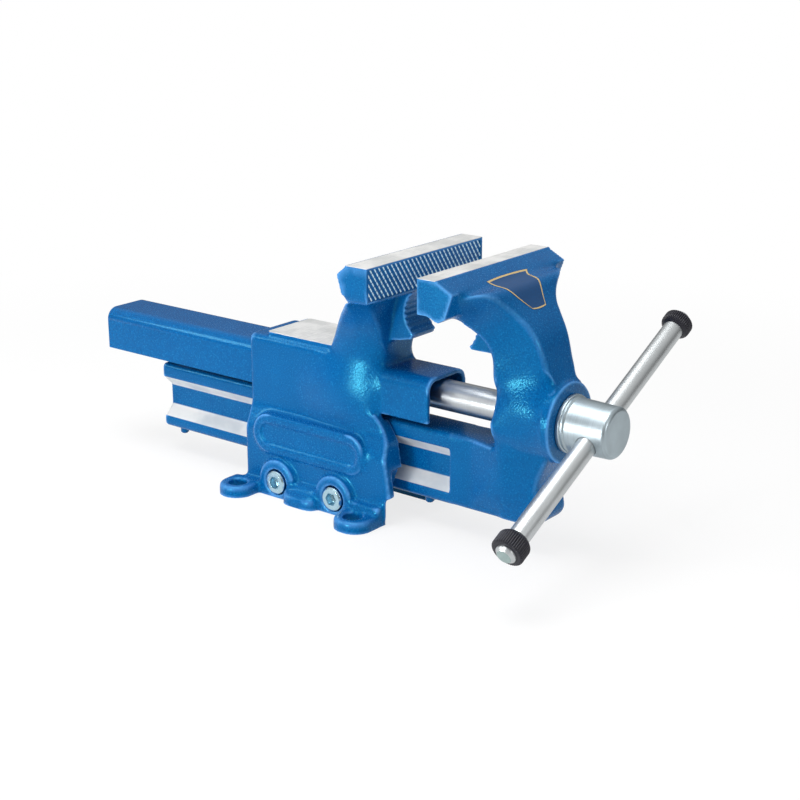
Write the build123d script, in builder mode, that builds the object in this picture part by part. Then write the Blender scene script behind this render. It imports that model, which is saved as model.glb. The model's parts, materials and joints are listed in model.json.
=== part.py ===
from build123d import *
import os
from math import cos, radians, sin

os.makedirs("parts", exist_ok=True)

# A forged steel bench vise, in millimetres.
# X runs along the slide towards the handle, -Y is the side with the clamp screw heads, Z is up.
# The origin is the centre of the bolt pattern, on the face that rests on the bench.

# Height of the rail above the bench, and of the jaw tops above the spindle
rail_rise = 19.0
throat_depth = 90.0

# Jaws
jaw_width = 120.0
jaw_opening = 38.0
jaw_opening_max = 153.0
face_height = 22.0
fixed_face_x = 77.0
fixed_land = 16.0
fixed_shoulder = 7.5
fixed_waist = 2.0
moving_land = 13.0
moving_shoulder = 12.5
moving_waist = 7.0
moving_lip = 7.5
shoulder_drop = 6.5
waist_drop = 24.0

# Column of the fixed jaw, level by level: share of its height, then setbacks of rear, side and
# front from the jaw face, half width, half width of the front, rounding of the corners
column_sections = (
    (0.0, 69.0, 41.0, 22.0, 23.9, 17.0, 6.0),
    (0.21, 62.4, 39.0, 22.0, 23.7, 16.8, 6.0),
    (0.42, 56.4, 38.0, 20.5, 26.5, 20.0, 6.0),
    (0.64, 47.0, 33.0, 18.5, 33.5, 26.5, 5.0),
    (0.85, 33.0, 26.0, 16.0, 46.0, 35.0, 4.0),
    (1.0, 17.7, 13.5, 9.0, 59.2, 52.0, 1.5),
)
column_sink = 8.0

# Slide rail with a prism groove along each side
rail_width = 28.0
rail_height = 48.0
rail_drop = 20.0
rail_behind = 97.0
rail_corner = 3.5
groove_depth = 7.8
groove_web = 15.0
groove_lowering = 1.0
groove_end_x = 106.0
guide_clearance = 0.2
guide_front_x = 60.0

# Fixed body: guide housing and anvil
body_rear_x = -55.0
body_front_x = 72.0
front_foot_x = 66.0
front_toe_height = 14.0
front_lean = 6.5
front_lean_top = 54.0
front_top_x = 53.5
lower_half = 31.0
upper_half = 24.0
lower_wall_top = 44.0
wall_slope_rise = 16.0
wall_blend = 12.0
shoulder_rise = 21.0
anvil_raise = 3.0
anvil_rear_x = -41.0
anvil_front_x = 20.0
anvil_inset = 2.5
anvil_corner = 3.0
top_round = 4.0
front_corner = 8.0

# Feet
foot_thickness = 8.0
bolt_spacing_x = 102.0
bolt_spacing_y = 88.0
bolt_hole_d = 13.0
lug_radius = 12.5
lug_reach = 2.5
foot_half = 33.5
cavity_half = 22.0
cavity_flare = 6.5
cavity_relief = 17.0
cavity_gap = 0.5
foot_bulge = 9.0
foot_bulge_length = 30.0
foot_blend = 5.0
foot_edge = 1.5

# Plaque on the side of the housing
plaque_length = 97.0
plaque_height = 27.5
plaque_rim = 6.0
plaque_raise = 1.6
plaque_sink = 1.4
plaque_centre_x = 2.4
plaque_centre_z = 42.8

# Spindle tunnel and the cover behind the body
tunnel_half = 20.5
tunnel_rise = 14.2
tunnel_drop = 15.3
tunnel_wall = 3.0
tunnel_corner = 8.5
tunnel_rear_x = 7.0
tunnel_front_x = 93.5
cover_rear_x = -201.0
cover_gap = 1.0
cover_tab_width = 9.0
cover_tab_length = 14.0
seat_clearance = 0.1

# Spindle and nut
spindle_d = 20.0
running_clearance = 0.05
nut_d = 28.0
nut_front_x = 20.0
nut_length = 50.0
nut_flange_width = 34.0
nut_flange_height = 28.0
nut_flange = 6.0
spindle_tail = 119.0
spindle_chamfer = 2.0

# Spindle head, washer and collar
head_d = 35.0
head_rim = 1.2
head_waist_d = 33.4
head_front_d = 32.0
head_length = 30.0
head_edge = 3.0
head_stub_d = 15.0
head_stub_gap = 1.0
handle_setback = 13.5
washer_d = 36.5
washer_thickness = 3.0
washer_gap = 0.2
washer_edge = 0.6
collar_d = 31.0
collar_length = 8.0
collar_recess = 11.0
collar_room = 1.0
collar_gap = 1.0
collar_edge = 1.0

# Handle bar and its end rings
handle_d = 13.0
handle_length = 219.0
handle_tilt = 26.4
handle_hole_clearance = 0.3
handle_chamfer = 1.9
ring_d = 20.5
ring_length = 12.0
ring_inset = 3.0
ring_groove = 0.8
ring_round = 2.5
ring_edge = 0.8

# Arm of the movable jaw, section by section from the jaw bar down to the hub: reach from the jaw
# face, drop below the jaw top and half width on the throat side, the same on the outer side,
# rounding of the corners
arm_sections = (
    (12.0, 21.0, 59.0, 23.0, 8.5, 59.0, 2.0),
    (14.5, 26.5, 46.0, 32.5, 7.5, 47.0, 3.0),
    (15.5, 32.5, 34.0, 38.0, 11.0, 37.0, 3.5),
    (18.5, 38.5, 27.0, 43.5, 20.0, 25.5, 3.5),
    (23.5, 46.5, 23.0, 51.5, 30.0, 19.5, 3.5),
    (26.5, 56.0, 22.0, 58.5, 42.5, 17.0, 3.5),
    (27.0, 66.0, 22.0, 63.5, 57.5, 15.5, 3.5),
    (27.5, 79.0, 22.0, 66.5, 79.0, 16.0, 3.5),
)

# Neck of the movable jaw, level by level: rise above the rail, half width at the rear,
# thickness, half width at the front, rounding of the corners
neck_sections = (
    (31.0, 22.0, 37.5, 16.0, 2.5),
    (8.0, 22.0, 39.0, 18.0, 2.5),
    (-7.0, 21.5, 34.5, 18.0, 2.5),
    (-21.0, 20.0, 29.5, 17.0, 2.5),
    (-35.0, 17.0, 31.0, 15.5, 2.5),
    (-48.0, 14.0, 32.0, 13.0, 2.5),
)
neck_half = 22.0
neck_reach = 28.5
neck_thickness = 39.0
lower_thickness = 32.0
lower_round = 9.0
root_start_x = 110.0
root_mid_reach = 20.0
root_mid_swell = 2.0
root_mid_rise = 20.0
root_mid_half = 19.0
root_rise = 41.0
throat_blend = 8.0
boss_d = 51.0
boss_stand = 3.0
bush_d = 26.0
bush_flange_d = 33.0
bush_flange = 2.5

# Pipe jaws
pipe_half = 12.0
pipe_depth = 7.0
pipe_teeth = 8
tooth_depth = 1.2
pipe_height = 29.0
fixed_pipe_setback = 1.6
moving_pipe_setback = 3.5
fixed_pipe_lip = 3.5
fixed_pipe_underside = 10.0
moving_pipe_lip = 2.0

# Clamp screws across the foot, and the stop pins under the rail
clamp_screw_d = 10.0
clamp_head_d = 16.0
clamp_head_height = 10.0
clamp_head_room = 1.0
clamp_hex = 8.0
clamp_hex_depth = 5.0
clamp_edge = 1.0
clamp_rear_x = -23.0
clamp_front_x = 27.0
clamp_gap = 3.0
clamp_boss_radius = 15.5
clamp_boss_half = 36.5
clamp_band_rise = 2.0
clamp_proud = 1.0
clamp_clearance = 0.3
clamp_end_inset = 2.0
stop_pin_d = 6.0
stop_pin_drop = 8.0
stop_pin_seat = 6.0
stop_pin_edge = 1.0
stop_gap = 0.4
front_stop_x = 80.5

# Small screws and pins
nut_screw_d = 8.0
nut_screw_x = -5.0
nut_screw_bite = 2.0
nut_screw_hex = 4.0
screw_recess = 0.4
cover_screw_d = 5.0
cover_screw_head_d = 9.5
cover_screw_setback = 7.0
cover_screw_y = 13.0
cover_screw_hex = 3.0
small_hex_depth = 1.8
cross_pin_d = 5.0
thread_clearance = 0.05

# Places worked out from the sizes above
spindle_height = rail_rise + rail_height + rail_drop
jaw_top = spindle_height + throat_depth
face_bottom = jaw_top - face_height
moving_face_x = fixed_face_x + jaw_opening
shoulder_top = spindle_height + shoulder_rise
column_foot = shoulder_top - column_sink
bar_bottom = jaw_top - waist_drop
rail_bottom = rail_rise
rail_top = rail_rise + rail_height
rail_rear_x = body_rear_x - rail_behind
groove_mid = (rail_top + rail_bottom) / 2 - groove_lowering
channel_half = rail_width / 2 + guide_clearance
channel_roof = rail_top + guide_clearance
tunnel_top = spindle_height + tunnel_rise
tunnel_bottom = spindle_height - tunnel_drop
nut_rear_x = nut_front_x - nut_length
nut_bottom = spindle_height - nut_d / 2
cover_front_x = nut_rear_x - nut_flange - cover_gap
neck_rear_x = moving_face_x + neck_reach
neck_front_x = neck_rear_x + neck_thickness
boss_face_x = neck_front_x + boss_stand
washer_x = boss_face_x + washer_gap
head_x = washer_x + washer_thickness
handle_x = head_x + head_length - handle_setback
handle_hole_d = handle_d + 2 * handle_hole_clearance
stub_end_x = handle_x - handle_hole_d / 2 - head_stub_gap
head_pin_x = (head_x + stub_end_x) / 2
head_pin_foot = head_stub_d / 5
collar_x = neck_rear_x + collar_recess - collar_gap - collar_length
collar_pin_x = collar_x + collar_length / 2
spindle_rear_x = nut_rear_x - nut_flange - spindle_tail
opening_travel = jaw_opening_max - jaw_opening
rear_stop_x = clamp_rear_x - (clamp_screw_d + stop_pin_d) / 2 - opening_travel - stop_gap
stop_places = ((rear_stop_x, 0), (front_stop_x, 0))
clamp_height = rail_bottom - clamp_gap - clamp_screw_d / 2
clamp_places = ((clamp_rear_x, clamp_height), (clamp_front_x, clamp_height))
cover_screw_x = cover_front_x - cover_screw_setback
cover_screw_places = ((cover_screw_x, -cover_screw_y), (cover_screw_x, cover_screw_y))
cover_screw_sink = (cover_screw_head_d - cover_screw_d) / 2
beyond = 400.0

spindle_line = Axis((0, 0, spindle_height), (1, 0, 0))
handle_axis = Vector(0, cos(radians(handle_tilt)), sin(radians(handle_tilt)))
handle_middle = Vector(handle_x, 0, spindle_height)
handle_line = Axis(handle_middle, handle_axis)
handle_plane = Plane(origin=handle_middle, x_dir=handle_axis, z_dir=(1, 0, 0))
pin_plane = Plane(
    origin=(head_pin_x, 0, spindle_height),
    x_dir=(1, 0, 0),
    z_dir=(0, sin(radians(handle_tilt)), -cos(radians(handle_tilt))),
)


def round_section(x, radius):
    """Circle across X, on the axis of the spindle."""
    with BuildSketch(Plane.YZ.offset(x)) as section:
        with Locations((0, spindle_height)):
            Circle(radius)
    return section.sketch


def tunnel_section(x, inset, bottom):
    """Arch section of the spindle tunnel across X, drawn inset from its outer skin."""
    top = tunnel_top - inset
    with BuildSketch(Plane.YZ.offset(x)) as section:
        with Locations((0, (top + bottom) / 2)):
            Rectangle(2 * (tunnel_half - inset), top - bottom)
        fillet(section.vertices().group_by(Axis.Y)[-1], radius=tunnel_corner - inset)
    return section.sketch


def groove_section(x, grow):
    """Both prism grooves of the rail, across X, open to the sides; grow shrinks them to fit."""
    side = rail_width / 2 + 1
    root = rail_width / 2 - groove_depth + grow
    web = groove_web / 2 - grow / 2
    with BuildSketch(Plane.YZ.offset(x)) as section:
        with BuildLine():
            Polyline(
                (root, groove_mid - web),
                (side, groove_mid - web - (side - root)),
                (side, groove_mid + web + (side - root)),
                (root, groove_mid + web),
                close=True,
            )
        make_face()
        mirror(about=Plane.YZ)
    return section.sketch


def pipe_block(face_x, setback, direction, root_x, lip, underside):
    """Side outline of a pipe jaw from the jaw face back to root_x; it looks along direction."""
    points = []
    for step in range(2 * pipe_teeth + 1):
        share = step / (2 * pipe_teeth)
        hollow = 4 * pipe_depth * share * (1 - share)
        crest = tooth_depth * (step % 2)
        back = setback * share + hollow + crest
        points.append((face_x - direction * back, face_bottom - pipe_height * share))
    lip_x = face_x - direction * (setback + lip / 2)
    with BuildSketch(Plane.XZ) as block:
        with BuildLine():
            Polyline(
                *points,
                (lip_x, face_bottom - pipe_height - lip),
                (root_x, face_bottom - pipe_height - underside),
                (root_x, face_bottom),
                close=True,
            )
        make_face()
    return block.sketch


# Column of the fixed jaw: a blend that opens upwards
with BuildPart() as column:
    for share, rear, side, front, half, front_half, rounding in column_sections:
        with BuildSketch(Plane.XY.offset(column_foot + share * (bar_bottom - column_foot))) as level:
            with BuildLine():
                Polyline(
                    (fixed_face_x - rear, -half),
                    (fixed_face_x - side, -half),
                    (fixed_face_x - front, -front_half),
                    (fixed_face_x - front, front_half),
                    (fixed_face_x - side, half),
                    (fixed_face_x - rear, half),
                    close=True,
                )
            make_face()
            fillet(level.vertices(), radius=rounding)
    loft()

# Jaw bar on top of the column
with BuildPart() as fixed_bar:
    with BuildSketch(Plane.XZ):
        land_x = fixed_face_x - fixed_land
        with BuildLine():
            Polyline(
                (fixed_face_x, face_bottom),
                (fixed_face_x, jaw_top),
                (land_x, jaw_top),
                (land_x - fixed_shoulder, jaw_top - shoulder_drop),
                (land_x - fixed_waist, bar_bottom),
                (fixed_face_x - fixed_waist, bar_bottom),
                close=True,
            )
        make_face()
    extrude(amount=jaw_width / 2, both=True)

# Foot plate with four lugs and a shallow bulge between the clamp screws
with BuildPart() as foot:
    with BuildSketch():
        with Locations(((body_rear_x + front_foot_x) / 2, 0)):
            Rectangle(front_foot_x - body_rear_x, 2 * foot_half)
        with GridLocations(bolt_spacing_x, bolt_spacing_y, 2, 2):
            Circle(lug_radius)
        with Locations((bolt_spacing_x / 2 + lug_reach, 0)):
            with GridLocations(1, bolt_spacing_y, 1, 2):
                Circle(lug_radius)
            with GridLocations(1, bolt_spacing_y - lug_radius, 1, 2):
                Rectangle(2 * lug_radius, lug_radius)
        with GridLocations(bolt_spacing_x, bolt_spacing_y - lug_radius, 2, 2):
            Rectangle(2 * lug_radius, lug_radius)
        RectangleRounded(foot_bulge_length, 2 * (foot_half + foot_bulge), foot_bulge - 1)
        offset(amount=foot_blend, mode=Mode.REPLACE)
        offset(amount=-foot_blend, mode=Mode.REPLACE)
    extrude(amount=foot_thickness)
    chamfer(foot.faces().sort_by(Axis.Z)[-1].outer_wire().edges(), length=foot_edge)

# Bands with the clamp screw bosses, one on each side of the foot
with BuildPart() as bands:
    band_start = clamp_rear_x - clamp_boss_radius
    band_top = clamp_height + clamp_band_rise
    for side in (-1, 1):
        with BuildSketch(Plane.XZ.offset(-side * upper_half)):
            with Locations(*clamp_places):
                Circle(clamp_boss_radius)
            with Locations(((band_start + front_foot_x) / 2, band_top / 2)):
                Rectangle(front_foot_x - band_start, band_top)
            with Locations((0, -clamp_boss_radius)):
                Rectangle(beyond, 2 * clamp_boss_radius, mode=Mode.SUBTRACT)
        extrude(amount=-side * (clamp_boss_half - upper_half))

# Fixed body: one forging with the housing, anvil, column, jaw, front tunnel and feet
with BuildPart() as fixed_body:
    with BuildSketch(Plane.YZ.offset(body_rear_x)) as housing:
        with BuildLine():
            Polyline(
                (0, 0),
                (lower_half, 0),
                (lower_half, lower_wall_top),
                (upper_half, lower_wall_top + wall_slope_rise),
                (upper_half, shoulder_top),
                (0, shoulder_top),
                close=True,
            )
        make_face()
        mirror(about=Plane.YZ)
        fillet(housing.vertices().filter_by_position(Axis.Y, 1, shoulder_top - 1), radius=wall_blend)
        fillet(housing.vertices().group_by(Axis.Y)[-1], radius=top_round)
    extrude(amount=body_front_x - body_rear_x)
    with BuildSketch(Plane.XZ):
        lean_x = body_front_x - front_lean
        with BuildLine():
            Polyline((front_foot_x, 0), (body_front_x, front_toe_height), (lean_x, front_lean_top))
            ThreePointArc(
                (lean_x, front_lean_top),
                (front_top_x + front_lean, (front_lean_top + tunnel_bottom) / 2),
                (front_top_x, tunnel_bottom),
            )
            Polyline(
                (front_top_x, tunnel_bottom),
                (front_top_x, jaw_top),
                (beyond, jaw_top),
                (beyond, 0),
                (front_foot_x, 0),
            )
        make_face()
    extrude(amount=beyond, both=True, mode=Mode.SUBTRACT)
    front_edges = fixed_body.edges().filter_by(Axis.Z).filter_by_position(
        Axis.X, front_top_x - 1, front_top_x + 1
    )
    fillet(front_edges, radius=front_corner)
    with BuildSketch(Plane.XY.offset(shoulder_top - 1)):
        with Locations(((anvil_rear_x + anvil_front_x) / 2, 0)):
            RectangleRounded(anvil_front_x - anvil_rear_x, 2 * (upper_half - anvil_inset), anvil_corner)
    extrude(amount=anvil_raise + 1)
    add(column.part)
    add(fixed_bar.part)
    extrude(tunnel_section(tunnel_rear_x, 0, tunnel_bottom), amount=tunnel_front_x - tunnel_rear_x)
    pipe_root_x = fixed_face_x - 2 * fixed_land
    fixed_pipe = (fixed_pipe_setback, 1, pipe_root_x, fixed_pipe_lip, fixed_pipe_underside)
    extrude(pipe_block(fixed_face_x, *fixed_pipe), amount=pipe_half, both=True)
    add(foot.part)
    add(bands.part)
    # Plaque with a raised rim
    with BuildSketch(Plane.XZ.offset(upper_half)):
        with Locations((plaque_centre_x, plaque_centre_z)):
            SlotOverall(plaque_length, plaque_height)
    extrude(amount=lower_half + plaque_raise - upper_half)
    with BuildSketch(Plane.XZ.offset(lower_half + plaque_raise)):
        with Locations((plaque_centre_x, plaque_centre_z)):
            SlotOverall(plaque_length - 2 * plaque_rim, plaque_height - 2 * plaque_rim)
    extrude(amount=-plaque_sink, mode=Mode.SUBTRACT)
    # Guide channel, with a prism on each side that enters the rail's groove
    with BuildSketch(Plane.YZ.offset(body_rear_x - 1)):
        with Locations((0, channel_roof / 2 - 1)):
            Rectangle(2 * channel_half, channel_roof + 2)
    extrude(amount=body_front_x - body_rear_x + 2, mode=Mode.SUBTRACT)
    extrude(groove_section(body_rear_x, guide_clearance), amount=guide_front_x - body_rear_x)
    # Wider cavity under the rail, open at both ends and flared at the front
    with BuildSketch():
        flare_x = front_foot_x - cavity_flare
        with BuildLine():
            Polyline(
                (body_rear_x - 1, 0),
                (body_rear_x - 1, cavity_half),
                (flare_x, cavity_half),
                (front_foot_x + cavity_flare, cavity_half + 2 * cavity_flare),
                (front_foot_x + cavity_flare, 0),
                close=True,
            )
        make_face()
        mirror(about=Plane.XZ)
    extrude(amount=rail_bottom - cavity_gap, mode=Mode.SUBTRACT)
    with BuildSketch(Plane.XZ):
        with BuildLine():
            Polyline(
                (flare_x, rail_bottom - 1),
                (front_foot_x, rail_bottom + cavity_relief),
                (body_front_x + 1, rail_bottom + cavity_relief),
                (body_front_x + 1, rail_bottom - 1),
                close=True,
            )
        make_face()
    extrude(amount=cavity_half + 2, both=True, mode=Mode.SUBTRACT)
    # Spindle tunnel, nut bore and the recess that takes the cover
    extrude(
        tunnel_section(nut_front_x, tunnel_wall, rail_top),
        amount=tunnel_front_x - nut_front_x,
        mode=Mode.SUBTRACT,
    )
    extrude(
        round_section(nut_front_x, nut_d / 2 + thread_clearance),
        amount=-nut_length,
        mode=Mode.SUBTRACT,
    )
    extrude(
        tunnel_section(body_rear_x, -seat_clearance, tunnel_bottom),
        amount=nut_rear_x - body_rear_x,
        mode=Mode.SUBTRACT,
    )
    # Bolt holes, clamp screw holes and the small threaded holes in the floor of the tunnel
    with BuildSketch():
        with GridLocations(bolt_spacing_x, bolt_spacing_y, 2, 2):
            Circle(bolt_hole_d / 2)
    extrude(amount=foot_thickness, mode=Mode.SUBTRACT)
    with BuildSketch(Plane.XZ.offset(clamp_boss_half)):
        with Locations(*clamp_places):
            Circle(clamp_head_d / 2 + clamp_head_room)
    extrude(amount=clamp_proud - clamp_head_height, mode=Mode.SUBTRACT)
    with BuildSketch(Plane.XZ.offset(clamp_boss_half)):
        with Locations(*clamp_places):
            Circle(clamp_screw_d / 2 + clamp_clearance)
    extrude(amount=-clamp_boss_half, mode=Mode.SUBTRACT)
    with BuildSketch(Plane.XZ):
        with Locations(*clamp_places):
            Circle(clamp_screw_d / 2 + thread_clearance)
    extrude(amount=-clamp_boss_half, mode=Mode.SUBTRACT)
    with BuildSketch(Plane.XY.offset(channel_roof)):
        with Locations((nut_screw_x, 0)):
            Circle(nut_screw_d / 2 + thread_clearance)
    extrude(amount=nut_bottom - channel_roof + 1, mode=Mode.SUBTRACT)
    with BuildSketch(Plane.XY.offset(channel_roof)):
        with Locations(*cover_screw_places):
            Circle(cover_screw_d / 2 + thread_clearance)
    extrude(amount=tunnel_bottom - channel_roof, mode=Mode.SUBTRACT)
    sunk = cover_screw_sink + screw_recess
    with Locations(*[(x, y, channel_roof + sunk / 2) for x, y in cover_screw_places]):
        Cone(cover_screw_head_d / 2 + screw_recess, cover_screw_d / 2, sunk, mode=Mode.SUBTRACT)

# Cover over the rear of the spindle, with two tabs that the screws hold
with BuildPart() as spindle_cover:
    extrude(tunnel_section(cover_rear_x, 0, tunnel_bottom), amount=cover_front_x - cover_rear_x)
    extrude(
        tunnel_section(cover_rear_x + tunnel_wall, tunnel_wall, tunnel_bottom),
        amount=cover_front_x - cover_rear_x - tunnel_wall,
        mode=Mode.SUBTRACT,
    )
    tab_x = cover_front_x - cover_tab_length / 2
    tab_y = tunnel_half - (tunnel_wall + cover_tab_width) / 2
    with Locations(*[(tab_x, side * tab_y, tunnel_bottom + tunnel_wall / 2) for side in (-1, 1)]):
        Box(cover_tab_length, tunnel_wall + cover_tab_width, tunnel_wall)
    with BuildSketch(Plane.XY.offset(tunnel_bottom)):
        with Locations(*cover_screw_places):
            Circle(cover_screw_d / 2 + thread_clearance)
    extrude(amount=tunnel_wall, mode=Mode.SUBTRACT)

# Countersunk screws of the cover, put in from below
with BuildPart() as cover_screws:
    head_z = channel_roof + screw_recess
    with Locations(*[(x, y, head_z + cover_screw_sink / 2) for x, y in cover_screw_places]):
        Cone(cover_screw_head_d / 2, cover_screw_d / 2, cover_screw_sink)
    with BuildSketch(Plane.XY.offset(head_z + cover_screw_sink)):
        with Locations(*cover_screw_places):
            Circle(cover_screw_d / 2)
    extrude(amount=tunnel_bottom + tunnel_wall - head_z - cover_screw_sink - screw_recess)
    with BuildSketch(Plane.XY.offset(head_z)):
        with Locations(*cover_screw_places):
            RegularPolygon(cover_screw_hex / 2, 6, major_radius=False)
    extrude(amount=small_hex_depth, mode=Mode.SUBTRACT)

# Nut in the body: a flanged bronze bush with the thread of the spindle
with BuildPart() as spindle_nut:
    extrude(round_section(nut_front_x, nut_d / 2), amount=-nut_length)
    with BuildSketch(Plane.YZ.offset(nut_rear_x)):
        with Locations((0, spindle_height)):
            Circle(nut_flange_width / 2)
            Rectangle(nut_flange_width, nut_flange_height, mode=Mode.INTERSECT)
    extrude(amount=-nut_flange)
    extrude(
        round_section(nut_front_x, spindle_d / 2 + running_clearance),
        amount=-beyond,
        mode=Mode.SUBTRACT,
    )
    with BuildSketch(Plane.XY.offset(nut_bottom - 1)):
        with Locations((nut_screw_x, 0)):
            Circle(nut_screw_d / 2 + thread_clearance)
    extrude(amount=nut_screw_bite + 1, mode=Mode.SUBTRACT)

# Set screw that holds the nut
with BuildPart() as nut_screw:
    with BuildSketch(Plane.XY.offset(channel_roof + screw_recess)):
        with Locations((nut_screw_x, 0)):
            Circle(nut_screw_d / 2)
    extrude(amount=nut_bottom + nut_screw_bite - channel_roof - screw_recess)
    chamfer(nut_screw.edges().group_by(Axis.Z)[-1], length=screw_recess)
    with BuildSketch(Plane.XY.offset(channel_roof + screw_recess)):
        with Locations((nut_screw_x, 0)):
            RegularPolygon(nut_screw_hex / 2, 6, major_radius=False)
    extrude(amount=2 * small_hex_depth, mode=Mode.SUBTRACT)

# Clamp screws: socket heads on the near side, threaded into the far wall
with BuildPart() as clamp_screws:
    head_y = clamp_boss_half + clamp_proud
    with BuildSketch(Plane.XZ.offset(head_y)):
        with Locations(*clamp_places):
            Circle(clamp_head_d / 2)
    extrude(amount=-clamp_head_height)
    chamfer(clamp_screws.edges().group_by(Axis.Y)[0], length=clamp_edge)
    with BuildSketch(Plane.XZ.offset(head_y - clamp_head_height)):
        with Locations(*clamp_places):
            Circle(clamp_screw_d / 2)
    extrude(amount=-(head_y - clamp_head_height + clamp_boss_half - clamp_end_inset))
    with BuildSketch(Plane.XZ.offset(head_y)):
        with Locations(*clamp_places):
            RegularPolygon(clamp_hex / 2, 6, major_radius=False)
    extrude(amount=-clamp_hex_depth, mode=Mode.SUBTRACT)

# Jaw bar of the movable jaw
with BuildPart() as moving_bar:
    with BuildSketch(Plane.XZ):
        bar_x = moving_face_x + moving_land
        with BuildLine():
            Polyline(
                (moving_face_x, face_bottom),
                (moving_face_x, jaw_top),
                (bar_x, jaw_top),
                (bar_x + moving_shoulder, jaw_top - shoulder_drop),
                (bar_x + moving_waist, face_bottom),
                (bar_x + fixed_waist, bar_bottom - 1),
                (moving_face_x + moving_lip, face_bottom),
                close=True,
            )
        make_face()
    extrude(amount=jaw_width / 2, both=True)

# Arm of the movable jaw: a blend along the hook, from the jaw bar to the hub
with BuildPart() as arm:
    for reach, drop, half, outer_reach, outer_drop, outer_half, rounding in arm_sections:
        inner = Vector(moving_face_x + reach, 0, jaw_top - drop)
        outer = Vector(moving_face_x + outer_reach, 0, jaw_top - outer_drop)
        across = Vector(0, 1, 0)
        with BuildSketch(Plane(origin=inner, x_dir=across, z_dir=across.cross(outer - inner))) as level:
            depth = (outer - inner).length
            with BuildLine():
                Polyline((-half, 0), (half, 0), (outer_half, depth), (-outer_half, depth), close=True)
            make_face()
            fillet(level.vertices(), radius=rounding)
    loft()

# Neck of the movable jaw: a blend from the hub down to the front end of the rail
with BuildPart() as neck:
    for rise, half, thickness, outer_half, rounding in neck_sections:
        with BuildSketch(Plane.XY.offset(rail_top + rise)) as level:
            front_x = neck_rear_x + thickness
            with BuildLine():
                Polyline(
                    (neck_rear_x, -half),
                    (neck_rear_x, half),
                    (front_x, outer_half),
                    (front_x, -outer_half),
                    close=True,
                )
            make_face()
            fillet(level.vertices(), radius=rounding)
    loft()
    with BuildSketch(Plane.XZ):
        lower_x = neck_rear_x + lower_thickness
        with Locations((lower_x, rail_bottom)):
            Rectangle(2 * lower_round, 2 * lower_round)
        with Locations((lower_x - lower_round, rail_bottom + lower_round)):
            Circle(lower_round, mode=Mode.SUBTRACT)
    extrude(amount=rail_width, both=True, mode=Mode.SUBTRACT)

# Root of the rail, widening into the neck
with BuildPart() as root:
    with BuildSketch(Plane.XY.offset(rail_bottom)):
        root_start = (root_start_x, rail_width / 2 - rail_corner)
        root_middle = (root_start_x + root_mid_reach, rail_width / 2 + root_mid_swell)
        root_end = (neck_rear_x + throat_blend, neck_half)
        with BuildLine():
            Line((root_start_x, 0), root_start)
            ThreePointArc(root_start, root_middle, root_end)
            Polyline(root_end, (root_end[0], 0), (root_start_x, 0))
        make_face()
        mirror(about=Plane.XZ)
    extrude(amount=rail_height)
    with BuildSketch(Plane.YZ):
        foot_corner = (rail_width / 2 - rail_corner / 2, rail_bottom)
        with BuildLine():
            Line((0, rail_bottom), foot_corner)
            ThreePointArc(
                foot_corner,
                (root_mid_half, rail_bottom + root_mid_rise),
                (neck_half, rail_bottom + root_rise),
            )
            Polyline(
                (neck_half, rail_bottom + root_rise),
                (neck_half, rail_top),
                (0, rail_top),
                (0, rail_bottom),
            )
        make_face()
        mirror(about=Plane.YZ)
    extrude(amount=beyond, both=True, mode=Mode.INTERSECT)

# Movable jaw: one forging with the arm, rail, hub boss and pipe jaw
with BuildPart() as movable_jaw:
    add(moving_bar.part)
    add(arm.part)
    add(neck.part)
    add(root.part)
    with BuildSketch(Plane.YZ.offset(rail_rear_x)):
        with Locations((0, (rail_top + rail_bottom) / 2)):
            RectangleRounded(rail_width, rail_height, rail_corner)
    extrude(amount=neck_rear_x + throat_blend - rail_rear_x)
    with BuildSketch(Plane.XZ):
        blend_x = neck_rear_x - throat_blend
        blend_z = rail_top + throat_blend
        throat_cut = throat_blend * (1 - cos(radians(45)))
        with BuildLine():
            Polyline((blend_x, rail_top), (neck_rear_x, rail_top), (neck_rear_x, blend_z))
            ThreePointArc(
                (neck_rear_x, blend_z),
                (neck_rear_x - throat_cut, rail_top + throat_cut),
                (blend_x, rail_top),
            )
        make_face()
    extrude(amount=rail_width / 2, both=True)
    extrude(round_section(neck_rear_x, boss_d / 2), amount=boss_face_x - neck_rear_x)
    pipe_root_x = neck_rear_x + throat_blend
    moving_pipe = (moving_pipe_setback, -1, pipe_root_x, moving_pipe_lip, moving_pipe_lip)
    extrude(pipe_block(moving_face_x, *moving_pipe), amount=pipe_half, both=True)
    # Grooves of the guide, bores for the bush and the collar, holes of the stop pins
    extrude(groove_section(rail_rear_x, 0), amount=groove_end_x - rail_rear_x, mode=Mode.SUBTRACT)
    bores = (
        (neck_rear_x, bush_d / 2 + thread_clearance, boss_face_x - neck_rear_x),
        (neck_rear_x, collar_d / 2 + collar_room, collar_recess),
        (boss_face_x - bush_flange, bush_flange_d / 2 + thread_clearance, bush_flange),
    )
    for start, radius, length in bores:
        extrude(round_section(start, radius), amount=length, mode=Mode.SUBTRACT)
    with BuildSketch(Plane.XY.offset(rail_bottom)):
        with Locations(*stop_places):
            Circle(stop_pin_d / 2 + thread_clearance)
    extrude(amount=stop_pin_seat, mode=Mode.SUBTRACT)

# Stop pins under the rail
with BuildPart() as stop_pins:
    with BuildSketch(Plane.XY.offset(rail_bottom - stop_pin_drop)):
        with Locations(*stop_places):
            Circle(stop_pin_d / 2)
    extrude(amount=stop_pin_drop + stop_pin_seat)
    chamfer(stop_pins.edges().group_by(Axis.Z)[0], length=stop_pin_edge)

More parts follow.
